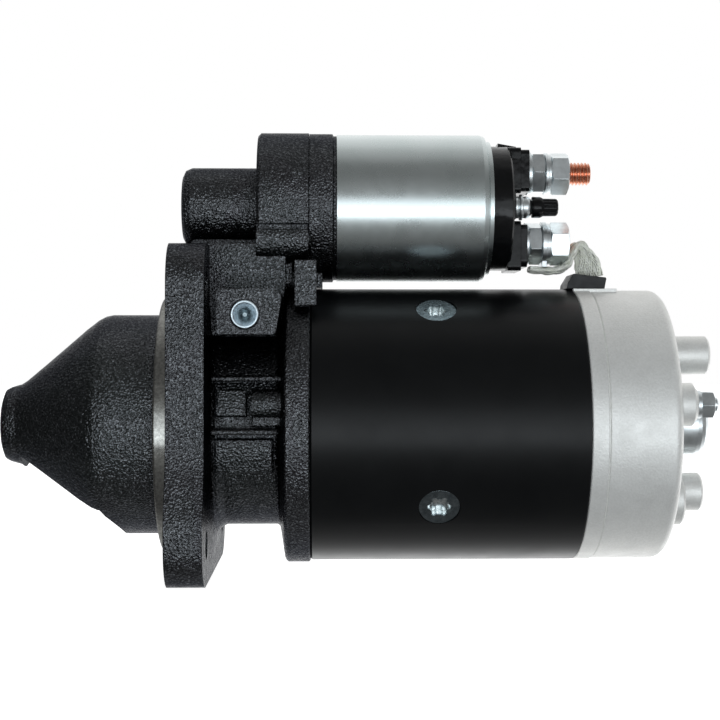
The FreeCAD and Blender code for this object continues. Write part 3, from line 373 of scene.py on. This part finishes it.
def cast_aluminium():
    """Fine blasted aluminium casting."""
    s = Surface("cast_aluminium", (0.83, 0.83, 0.805), 0.5, 0.5)
    fine = s.noise(0.9 * MM, 3.0, 0.6)
    tone = s.ramp(s.noise(14 * MM, 6.0, 0.65), (0.28, (0.83, 0.83, 0.805)), (0.72, (0.91, 0.91, 0.885)))
    s.feed("Base Color", s.blend(s.remap(fine, 0.35, 0.7, 0, 0.6), tone, (1.0, 1.0, 0.98)))
    s.feed("Roughness", s.remap(s.noise(6 * MM, 4.0), 0.3, 0.7, 0.44, 0.56))
    s.bump((s.noise(9 * MM, 3.0), 0.06, 0.3 * MM), (s.noise(0.9 * MM, 2.0), 0.8, 0.13 * MM),
           normal=s.soft_edges(0.5 * MM))
    return s.material


def copper():
    """Bare rolled copper."""
    s = Surface("copper", (0.86, 0.32, 0.17), 1.0, 0.26)
    s.feed("Base Color", s.ramp(s.noise(1.2 * MM, 4.0),
                                (0.3, (0.66, 0.27, 0.17)), (0.7, (0.90, 0.49, 0.35))))
    s.bump((s.noise(0.5 * MM, 3.0), 0.1, 0.03 * MM))
    return s.material


def wound_copper():
    """Varnished copper turns, seen as fine lines along the axis."""
    s = Surface("wound_copper", (0.36, 0.11, 0.045), 0.6, 0.33)
    s.feed("Base Color", s.ramp(s.noise(1.5 * MM, 4.0),
                                (0.3, (0.20, 0.055, 0.02)), (0.7, (0.48, 0.17, 0.07))))
    s.bump((s.noise(0.9 * MM, 2.0, where=s.stretched(0.08, 1.0, 1.0)), 0.4, 0.2 * MM))
    return s.material


def bronze():
    """Sintered bronze of the bushes, with fine pores."""
    s = Surface("bronze", (0.50, 0.33, 0.15), 1.0, 0.36)
    s.feed("Base Color", s.ramp(s.noise(0.8 * MM, 4.0),
                                (0.3, (0.36, 0.22, 0.09)), (0.7, (0.58, 0.40, 0.19))))
    s.bump((s.noise(0.3 * MM, 2.0), 0.2, 0.04 * MM))
    return s.material


def moulded_black(name, tone, shine, grain, gloss):
    """Moulded black plastic or rubber, from nearly black up to tone."""
    s = Surface(name, (tone, tone, tone), 0.0, shine, Specular_IOR_Level=gloss)
    s.feed("Base Color", s.ramp(s.noise(5 * MM, 4.0),
                                (0.3, (0.5 * tone, 0.52 * tone, 0.58 * tone)),
                                (0.7, (tone, 1.05 * tone, 1.2 * tone))))
    s.feed("Roughness", s.remap(s.noise(3 * MM, 3.0), 0.3, 0.7, shine - 0.06, shine + 0.08))
    s.bump((s.noise(0.4 * MM, 3.0), grain, 0.05 * MM), (s.noise(6 * MM, 2.0), 0.5, 0.5 * MM),
           normal=s.soft_edges(0.45 * MM))
    return s.material


def braid_fibre(name, shade):
    """Pale woven strands with a little green in them; a shade below 1 darkens them as painted shade."""
    s = Surface(name, (0.85 * shade, 0.86 * shade, 0.78 * shade), 0.35, 0.35, Sheen_Weight=0.5)
    s.feed("Base Color", s.ramp(s.noise(1.6 * MM, 5.0),
                                (0.25, (0.72 * shade, 0.74 * shade, 0.62 * shade)),
                                (0.5, (0.88 * shade, 0.89 * shade, 0.80 * shade)),
                                (0.8, (0.95 * shade, 0.95 * shade, 0.91 * shade))))
    s.bump((s.noise(0.3 * MM, 3.0), 0.4, 0.06 * MM))
    return s.material


def carbon():
    """Brush carbon flecked with copper."""
    s = Surface("carbon", (0.035, 0.033, 0.032), 0.2, 0.5)
    s.feed("Base Color", s.ramp(s.noise(0.5 * MM, 3.0),
                                (0.45, (0.028, 0.026, 0.026)), (0.75, (0.12, 0.07, 0.045))))
    s.bump((s.noise(0.25 * MM, 2.0), 0.3, 0.04 * MM))
    return s.material


# The record's material slots, by name.
MATERIALS = {
    "black_casting": grainy_black(),
    "black_enamel": enamel_black(),
    "zinc_steel": steel("zinc_steel", (0.80, 0.845, 0.86), 0.33, spread=0.04, scratch=0.01),
    "can_steel": can_steel(),
    "bare_steel": steel("bare_steel", (0.46, 0.47, 0.48), 0.28),
    "dark_steel": steel("dark_steel", (0.13, 0.13, 0.14), 0.36),
    "cast_aluminium": cast_aluminium(),
    "bronze": bronze(),
    "copper": copper(),
    "coil_copper": wound_copper(),
    "black_plastic": moulded_black("black_plastic", tone=0.005, shine=0.16, grain=0.1, gloss=0.27),
    "rubber": moulded_black("rubber", tone=0.014, shine=0.45, grain=0.3, gloss=0.4),
    "fibre_braid": braid_fibre("braid_fibre", 1.0),
    "carbon": carbon(),
}

# The braid's inside, painted darker as painted shade, seen between its wires.
BRAID_CORE_PAINTED_SHADE = braid_fibre("braid_core_painted_shade", 0.6)


def pivot_zinc():
    """Dull plating, with painted shade that darkens it down the conical recess in the head."""
    s = Surface("pivot_zinc", (0.42, 0.48, 0.52), 1.0, 0.2)
    recess_top_y = -52.9 * MM
    recess_floor_y = -50.4 * MM
    _, y, _ = s.axes()
    depth = s.remap(y, recess_top_y, recess_floor_y, 0, 1)
    plated = s.ramp(s.noise(1.0 * MM, 3.0), (0.3, (0.40, 0.46, 0.50)), (0.7, (0.52, 0.58, 0.62)))
    # Painted shade: the colour darkens down the recess, where shade falls.
    painted_recess_shade = s.ramp(s.noise(2.2 * MM, 2.0), (0.4, (0.05, 0.06, 0.065)), (0.6, (0.24, 0.29, 0.31)))
    s.feed("Base Color", s.blend(depth, plated, painted_recess_shade))
    s.feed("Roughness", s.remap(s.noise(2 * MM, 2.0), 0.3, 0.7, 0.14, 0.26))
    s.bump((s.noise(1.6 * MM, 2.0), 0.5, 0.25 * MM))
    return s.material


def screw_zinc():
    """Dark plating on the flush heads of the pole screws, with a painted highlight down in the recess."""
    s = Surface("screw_zinc", (0.20, 0.235, 0.26), 1.0, 0.25)
    face_r = 56.6 * MM
    recess = s.remap(s.radius(), face_r - 0.9 * MM, face_r, 1, 0)
    face = s.ramp(s.noise(2.5 * MM, 4.0), (0.3, (0.13, 0.155, 0.17)), (0.7, (0.26, 0.30, 0.32)))
    # Painted highlight: the recess is painted near white to stand for its highlights.
    bright = s.ramp(s.noise(1.2 * MM, 3.0), (0.35, (0.50, 0.56, 0.57)), (0.65, (0.95, 0.98, 0.98)))
    s.feed("Base Color", s.blend(recess, face, bright))
    s.feed("Roughness", s.remap(s.noise(2 * MM, 3.0), 0.3, 0.7, 0.18, 0.32))
    s.bump((s.noise(1.3 * MM, 2.0), 0.25, 0.12 * MM), normal=s.soft_edges(0.35 * MM))
    return s.material


# Nodes whose finish differs from the rest of their slot.
OWN_FINISH = {"lever_pivot_bolt": pivot_zinc(), "pole_screws": screw_zinc(),
              "solenoid_flange": MATERIALS["black_casting"]}


def finish_nodes():
    """Every CAD node takes the material of the slot that it names, or its own."""
    slot_names = sorted(MATERIALS, key=len, reverse=True)
    for name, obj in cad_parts.items():
        for slot in obj.material_slots:
            label = slot.material.name if slot.material else ""
            matches = [s for s in slot_names if label.startswith(s)]
            slot.material = OWN_FINISH.get(name) or MATERIALS[matches[0] if matches else "bare_steel"]


finish_nodes()


# ---- detail pieces --------------------------------------------------------------------------
def keep(obj, body, slot, *nodes):
    """The piece rides on a body and stands for these CAD nodes; its slot is not used."""
    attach(obj, body)
    if nodes:
        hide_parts(*nodes)


def terminal_studs():
    """Two copper studs with their threads cut in, thinner where the nuts are run on."""
    low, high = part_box("terminal_studs")
    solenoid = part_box("solenoid_case")
    middle_z = (solenoid[0].z + solenoid[1].z) / 2
    offset = 15.0 * MM
    free_r = 4.9 * MM
    grip_r = 4.7 * MM
    thread_length = 9.0 * MM
    free_x = high.x - thread_length
    lower_end = free_x + 0.2 * MM
    lower_free_x = lower_end - thread_length
    pitch = 1.5 * MM
    depth = 0.9 * MM
    parts = [thread(free_x, high.x, free_r, pitch, depth, 0, middle_z + offset),
             lathe([(low.x, grip_r), (free_x, grip_r)], 0, middle_z + offset),
             lathe([(low.x, grip_r), (lower_free_x, grip_r)], 0, middle_z - offset),
             thread(lower_free_x, lower_end, grip_r, pitch, depth, 0, middle_z - offset)]
    keep(merged("stud_threads", parts, MATERIALS["copper"]), "motor", "copper", "terminal_studs")


def control_terminal():
    """Plated washers and a domed nut, then a black push-on sleeve with ribs along it."""
    low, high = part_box("control_terminal")
    y = (low.y + high.y) / 2
    z = (low.z + high.z) / 2
    foot = low.x + 4.2 * MM
    steps = ((0.0, 4.5), (0.1, 4.6), (1.6, 4.6), (1.7, 4.0), (2.0, 4.0), (2.1, 5.3), (2.2, 5.4), (3.1, 5.4),
             (3.2, 5.3), (3.3, 4.2), (3.9, 4.5), (4.9, 4.6), (5.8, 4.3), (6.6, 3.6), (7.2, 2.7))
    base = lathe([(foot + x * MM, r * MM) for x, r in steps], y, z)
    shank = lathe([(low.x, 1.9 * MM), (foot + 7.6 * MM, 1.9 * MM)], y, z, count=32)
    keep(merged("control_terminal_base", [base, shank], MATERIALS["zinc_steel"]),
         "motor", "zinc_steel", "control_terminal")

    rib_count = 8
    rib_start = foot + 11.0 * MM

    def ribbed(angle, x):
        """Size of the sleeve at an angle: full on the ribs, and less in the grooves between them."""
        groove = max(0.0, math.cos(rib_count * angle + 0.5) - 0.35)
        fade = min(1.0, max(0.0, (x - rib_start) / MM))
        return 1.0 - 0.15 * groove * fade

    wall = ((7.2, 3.0), (7.3, 4.2), (7.5, 4.4), (10.6, 4.4), (11.2, 4.2), (11.9, 3.75), (12.0, 3.7),
            (17.3, 3.6), (17.9, 3.3), (18.2, 2.8))
    sleeve = lathe([(foot + x * MM, r * MM) for x, r in wall], y, z, count=128, ripple=ribbed)
    keep(merged("control_terminal_sleeve", [sleeve], MATERIALS["black_plastic"]), "motor", "black_plastic")


def coil_spring(node, body, wire_r, radius, turns, joint=None):
    """A wound spring along X in place of the node's plain tube. Where it names a joint, the spring gets a
    mesh of its own."""
    low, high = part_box(node)
    y = (low.y + high.y) / 2
    z = (low.z + high.z) / 2
    route = helix(low.x + wire_r, high.x - wire_r, radius, turns, y, z)
    obj = merged(node + "_coil", [swept(route, wire_r, sides=10)], MATERIALS["bare_steel"])
    keep(obj, body, "bare_steel", node)
    if joint:
        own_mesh(obj)


def brush_spring_coils():
    """Four springs that press the brushes inwards, one for each brush."""
    low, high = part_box("brush_springs")
    middle_x = (low.x + high.x) / 2
    wire_r = 0.5 * MM
    radius = 3.9 * MM
    outer_r = 46.8 * MM
    length = 11.5 * MM
    turns = 5.5
    for number in range(1, 5):
        corner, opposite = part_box("brush_" + str(number))
        away = (corner + opposite) / 2
        away.x = 0.0
        away.normalize()
        turn = Vector((1, 0, 0)).rotation_difference(away).to_matrix()
        start = Vector((middle_x, 0, 0)) + away * (outer_r - length + wire_r)
        upright = helix(0, length - 2 * wire_r, radius, turns, 0, 0)
        coil = swept([start + turn @ point for point in upright], wire_r, sides=8)
        obj = merged("brush_spring_" + str(number), [coil], MATERIALS["bare_steel"])
        keep(obj, "motor", "bare_steel", "brush_springs")
        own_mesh(obj)


def curve_at(points, t):
    """Point at t, from 0 to 1, on a smooth curve through the points (Catmull-Rom)."""
    spans = len(points) - 1
    at = min(t * spans, spans - 1e-6)
    k = int(at)
    u = at - k
    before = points[max(k - 1, 0)]
    a = points[k]
    b = points[k + 1]
    after = points[min(k + 2, spans)]
    return 0.5 * ((2 * a) + (b - before) * u + (2 * before - 5 * a + 4 * b - after) * u * u
                  + (3 * a - before - 3 * b + after) * u ** 3)


def braided_lead():
    """Flat woven braid: out from under the lower nut, up, over a fold and down into the grommet.
    Each stop has a place (x, z), the way its width points, half its width and half its thickness."""
    stops = [
        ((149.4, 66.1), (0, -1, 0), 5.0, 1.3), ((155.0, 65.6), (0, -1, 0), 5.0, 1.5),
        ((160.5, 65.7), (0, -1, 0), 5.0, 1.7), ((165.0, 67.4), (0.1, -1, 0.1), 4.8, 1.8),
        ((167.2, 71.6), (0.2, -1, 0.2), 4.4, 1.7), ((168.8, 75.4), (0.5, -1, 0.3), 3.8, 1.6),
        ((171.0, 76.2), (1, -0.8, 0.1), 2.8, 1.5), ((172.8, 72.8), (1, -0.35, 0.5), 3.6, 1.4),
        ((174.6, 68.0), (1, -0.15, 0.42), 5.2, 1.3), ((175.6, 62.6), (1, -0.1, 0.1), 5.3, 1.2),
    ]
    places = [Vector((x * MM, 0, z * MM)) for (x, z), _, _, _ in stops]
    widths = [Vector(w).normalized() for _, w, _, _ in stops]
    sizes = [Vector((half * MM, thick * MM, 0)) for _, _, half, thick in stops]
    steps = 110
    reach = 0.01
    bed_share = 0.75
    frames = []
    for k in range(steps + 1):
        t = k / steps
        ahead = curve_at(places, min(1.0, t + reach)) - curve_at(places, max(0.0, t - reach))
        ahead.normalize()
        wide = curve_at(widths, t)
        wide = (wide - ahead * wide.dot(ahead)).normalized()
        frames.append((curve_at(places, t), wide, ahead.cross(wide), curve_at(sizes, t)))

    def on_braid(k, angle, lift):
        """A point on the flattened tube: angle goes round it, lift stands off it."""
        centre, wide, deep, size = frames[k]
        c = math.cos(angle)
        d = math.sin(angle)
        return centre + wide * (size.x * c + lift * c) + deep * ((size.y * bed_share + lift) * d)

    carriers = 8
    wires = 3
    wire_r = 0.27 * MM
    wire_spacing = 0.25
    weave_depth = 0.34
    unevenness = 0.14
    core_sides = 20
    core_inset = 0.55 * MM
    twist = 2 * math.pi * 0.6
    parts = []
    for way in (-1, 1):
        for carrier in range(carriers):
            for wire in range(wires):
                start = 2 * math.pi * (carrier + wire * wire_spacing) / carriers
                route = []
                for k in range(steps + 1):
                    angle = start + way * twist * k / steps
                    weave = math.sin(carriers * (twist * k / steps) + (carrier % 2) * math.pi) * way
                    lift = weave_depth * weave + unevenness * random.random()
                    route.append(on_braid(k, angle, lift * MM))
                parts.append(swept(route, wire_r, sides=5))
    core = []
    for k in range(steps + 1):
        for i in range(core_sides):
            core.append(on_braid(k, 2 * math.pi * i / core_sides, -core_inset))
    filling = (core, ring_faces(steps + 1, core_sides) + end_faces(len(core), core_sides))
    keep(merged("lead_braid", parts, MATERIALS["fibre_braid"]), "motor", "fibre_braid", "braided_lead")
    # The core takes the darker copy of the braid's material, as painted shade.
    keep(merged("lead_core", [filling], BRAID_CORE_PAINTED_SHADE), "motor", "fibre_braid")


terminal_studs()
control_terminal()
braided_lead()
coil_spring("meshing_spring", "drive", wire_r=1.75 * MM, radius=16.3 * MM, turns=4.0)
coil_spring("plunger_spring", "motor", wire_r=0.9 * MM, radius=6.6 * MM, turns=12.0,
            joint="plunger_slide")
coil_spring("contact_spring", "motor", wire_r=0.7 * MM, radius=4.2 * MM, turns=5.5,
            joint="contact_slide")
brush_spring_coils()


# ---- studio ---------------------------------------------------------------------------------
FLOOR_GAP = 0.3 * MM


def studio_floor():
    """A pale floor under the object, as white as the room behind it."""
    level = cad_box[0].z - FLOOR_GAP
    half = 4.0
    verts = [(-half, -half, level), (half, -half, level), (half, half, level), (-half, half, level)]
    s = Surface("floor_pale", (0.92, 0.92, 0.92), 0.0, 0.9)
    s.feed("Base Color", s.ramp(s.noise(0.4, 2.0), (0.3, (0.91, 0.91, 0.91)), (0.7, (0.93, 0.93, 0.93))))
    s.shader.inputs["Emission Color"].default_value = (1, 1, 1, 1)
    s.shader.inputs["Emission Strength"].default_value = 0.95
    floor = new_object("studio_floor", verts, [(0, 1, 2, 3)], s.material)
    floor.visible_glossy = False
    floor.visible_shadow = False
    floor.visible_diffuse = False


def softbox(name, place, aim, width, height, radiance, colour):
    """A rectangular light of even brightness, turned towards aim."""
    data = bpy.data.lights.new(name, "AREA")
    data.shape = "RECTANGLE"
    data.size = width
    data.size_y = height
    data.energy = radiance * math.pi * width * height
    data.color = colour
    light = bpy.data.objects.new(name, data)
    light.location = place
    light.visible_camera = False
    light.rotation_euler = (Vector(aim) - Vector(place)).to_track_quat("-Z", "Y").to_euler()
    bpy.context.scene.collection.objects.link(light)


# How bright the room is round the motor axis, as (degrees up from the camera's side, brightness).
ROOM = ((-180, 1.0), (-150, 1.9), (-112, 0.6), (-76, 0.11), (-56, 0.14), (-42, 0.18), (-26, 0.27),
        (20, 0.28), (48, 0.18), (66, 0.20), (88, 0.47), (118, 0.86), (146, 1.1), (180, 1.0))


def room():
    """A pale room: bright behind the object and above it, dim on the camera's side and past the nose.
    The dimming past the nose runs from full_x, the X of a direction, to least_x."""
    full_x = -0.3
    least_x = -0.9
    least_share = 0.16
    world = bpy.data.worlds.new("studio")
    bpy.context.scene.world = world
    world.use_nodes = True
    nodes = world.node_tree.nodes
    link = world.node_tree.links.new
    nodes.clear()
    way = nodes.new("ShaderNodeSeparateXYZ")
    link(nodes.new("ShaderNodeTexCoord").outputs["Generated"], way.inputs["Vector"])
    towards = nodes.new("ShaderNodeMath")
    towards.operation = "MULTIPLY"
    towards.inputs[1].default_value = -1.0
    link(way.outputs["Y"], towards.inputs[0])
    angle = nodes.new("ShaderNodeMath")
    angle.operation = "ARCTAN2"
    link(way.outputs["Z"], angle.inputs[0])
    link(towards.outputs["Value"], angle.inputs[1])
    spread = nodes.new("ShaderNodeMapRange")
    spread.inputs["From Min"].default_value = -math.pi
    spread.inputs["From Max"].default_value = math.pi
    link(angle.outputs["Value"], spread.inputs["Value"])
    ramp = nodes.new("ShaderNodeValToRGB")
    ramp.color_ramp.interpolation = "EASE"
    elements = ramp.color_ramp.elements
    while len(elements) < len(ROOM):
        elements.new(0.5)
    for element, (degrees, level) in zip(elements, ROOM):
        element.position = (degrees + 180) / 360
        element.color = (level, level * 1.01, level * 1.01, 1)
    link(spread.outputs["Result"], ramp.inputs["Fac"])
    ends = nodes.new("ShaderNodeMapRange")
    ends.interpolation_type = "SMOOTHSTEP"
    for socket, value in zip(RANGE_SOCKETS, (least_x, full_x, least_share, 1.0)):
        ends.inputs[socket].default_value = value
    link(way.outputs["X"], ends.inputs["Value"])
    dim = nodes.new("ShaderNodeBackground")
    link(ramp.outputs["Color"], dim.inputs["Color"])
    link(ends.outputs["Result"], dim.inputs["Strength"])
    pale = nodes.new("ShaderNodeBackground")
    pale.inputs["Color"].default_value = (1, 1, 1, 1)
    mix = nodes.new("ShaderNodeMixShader")
    link(nodes.new("ShaderNodeLightPath").outputs["Is Camera Ray"], mix.inputs["Fac"])
    link(dim.outputs["Background"], mix.inputs[1])
    link(pale.outputs["Background"], mix.inputs[2])
    link(mix.outputs["Shader"], nodes.new("ShaderNodeOutputWorld").inputs["Surface"])


def camera():
    """Nearly square on to the near side, a little to the right of the flange's face."""
    data = bpy.data.cameras.new("camera")
    data.lens = 74.6
    data.sensor_width = 36.0
    data.clip_start = 0.01
    data.clip_end = 50.0
    obj = bpy.data.objects.new("camera", data)
    obj.location = (62.1 * MM, -638.3 * MM, 29.0 * MM)
    yaw = math.radians(1.34)
    pitch = math.radians(0.156)
    obj.rotation_euler = (math.pi / 2 - pitch, 0.0, -yaw)
    bpy.context.scene.collection.objects.link(obj)
    bpy.context.scene.camera = obj


studio_floor()
room()
COOL = (0.91, 0.98, 1.03)
softbox("front_high", place=(0.38, -1.30, 0.10), aim=(0.38, 0, 0.05), width=2.0, height=0.36,
        radiance=1.35, colour=COOL)
softbox("front_low", place=(0.38, -1.30, -0.20), aim=(0.38, 0, 0.0), width=2.0, height=0.28,
        radiance=2.9, colour=COOL)
camera()
bpy.context.scene.view_settings.view_transform = "Standard"
bpy.context.scene.view_settings.look = "None"
